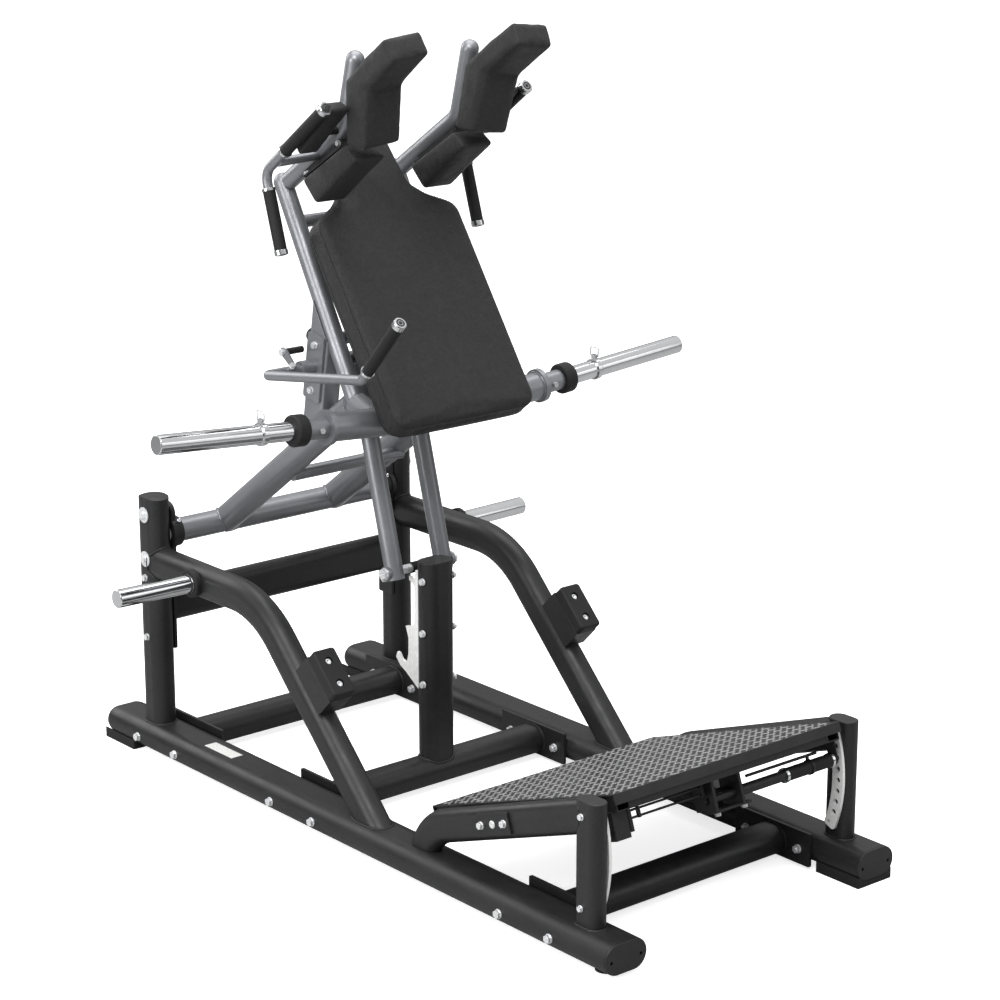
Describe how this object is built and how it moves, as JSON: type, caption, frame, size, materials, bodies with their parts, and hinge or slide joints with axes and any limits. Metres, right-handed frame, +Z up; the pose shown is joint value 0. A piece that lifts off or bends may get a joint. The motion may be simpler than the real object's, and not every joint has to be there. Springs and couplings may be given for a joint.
{
  "type": "lever hack squat machine",
  "caption": "Plate-loaded lever squat machine: swinging padded back carriage with load horns, prop with release lever, and a tilting foot platform on a tube base.",
  "frame": {"origin": "on the floor, at the middle of the footprint", "axes": "+Z up, +Y to the rear (pivot end), -Y is the end the user steps on, X across; the release lever is on the -X side"},
  "size_m": [1.7466, 2.131, 2.0662],
  "materials": {
    "black_paint": "satin charcoal powder coat",
    "silver_paint": "satin metallic silver-grey paint",
    "chrome": "polished chrome",
    "zinc": "bright zinc plated steel",
    "plate_steel": "polished steel plate",
    "rubber": "matt black rubber",
    "pad_leather": "black grained upholstery leather",
    "board": "matt black board",
    "tread": "raised-pattern tread plate, worn charcoal paint"
  },
  "bodies": {
    "base": {"rails": "black_paint", "rail_end_caps": "black_paint", "foot_blocks": "rubber", "levelling_foot": "rubber", "cross_members": "black_paint", "frame_bolts": "zinc", "rear_posts": "black_paint", "post_caps": "black_paint", "upper_cross_member": "black_paint", "small_bolts": "zinc", "bearing_housings": "black_paint", "bearing_bolts": "zinc", "side_tubes": "black_paint", "storage_horns": "chrome", "storage_horn_collars": "rubber", "bumper_rubbers": "rubber", "bumper_screws": "zinc", "centre_post": "black_paint", "catch_plates": "plate_steel", "platform_arms": "black_paint", "front_posts": "black_paint", "platform_pivot_plates": "black_paint", "index_plates": "plate_steel"},
    "carriage": {"swing_frame": "silver_paint", "pivot_stub_shafts": "plate_steel", "load_horn_sleeves": "silver_paint", "load_horns": "chrome", "load_horn_collars": "rubber", "back_frame": "silver_paint", "uprights": "silver_paint", "prop_bearing_plates": "silver_paint", "bearing_plate_bolts": "zinc", "stop_bumper": "rubber", "back_board": "board", "back_pad": "pad_leather", "shoulder_handles": "silver_paint", "shoulder_grips": "rubber", "shoulder_grip_ends": "chrome", "shoulder_pads": "pad_leather", "pad_brackets": "black_paint", "lower_pads": "pad_leather", "rear_pads": "pad_leather"},
    "prop": {"prop_frame": "silver_paint", "prop_shaft": "zinc", "prop_shaft_sleeve": "rubber", "prop_pivot_shaft": "plate_steel", "release_lever": "silver_paint", "stop_rod": "black_paint", "release_grip": "rubber", "release_grip_ends": "chrome"},
    "ring_left": {"stop_ring_left": "chrome"},
    "ring_right": {"stop_ring_right": "chrome"},
    "platform": {"tread_plate": "tread", "platform_frame": "black_paint", "platform_pins": "zinc"},
    "lock_right": {"lock_bar_right": "black_paint", "lock_pin_right": "chrome", "lock_pin_grip": "rubber"},
    "lock_left": {"lock_pin_left": "black_paint"},
    "rocker": {"lock_rocker": "black_paint"}
  },
  "joints": [
    {"name": "carriage_pivot", "type": "hinge", "parent": "base", "child": "carriage", "pos_m": [0, 0.8625, 0.634], "axis": [1, 0, 0], "range_deg": [-12, 39.5]},
    {"name": "prop_release", "type": "hinge", "parent": "carriage", "child": "prop", "pos_m": [0, 0.3815, 1.165], "axis": [1, 0, 0], "range_deg": [-1.9, 17]},
    {"name": "stop_ring_left_slide", "type": "slide", "parent": "carriage", "child": "ring_left", "axis": [-0.9969, 0, 0.0785], "range_m": [-0.08, 0.28]},
    {"name": "stop_ring_right_slide", "type": "slide", "parent": "carriage", "child": "ring_right", "axis": [0.9969, 0, 0.0785], "range_m": [-0.08, 0.28]},
    {"name": "platform_tilt", "type": "hinge", "parent": "base", "child": "platform", "pos_m": [0, -0.6205, 0.25], "axis": [1, 0, 0], "range_deg": [-5, 25]},
    {"name": "lock_handle_slide", "type": "slide", "parent": "platform", "child": "lock_right", "axis": [1, 0, 0], "range_m": [0, 0.0085]},
    {"name": "lock_pin_left_slide", "type": "slide", "parent": "platform", "child": "lock_left", "axis": [-1, 0, 0], "range_m": [0, 0.0085]},
    {"name": "lock_rocker_turn", "type": "hinge", "parent": "platform", "child": "rocker", "pos_m": [-0.013, -0.91946, 0.30701], "axis": [0, 0.3305, 0.9438], "range_deg": [0, 15]}
  ],
  "couplings": [
    {"joint": "lock_pin_left_slide", "follows": "lock_handle_slide", "ratio": 1},
    {"joint": "lock_rocker_turn", "follows": "lock_handle_slide", "rad_per_m": 29.762}
  ]
}
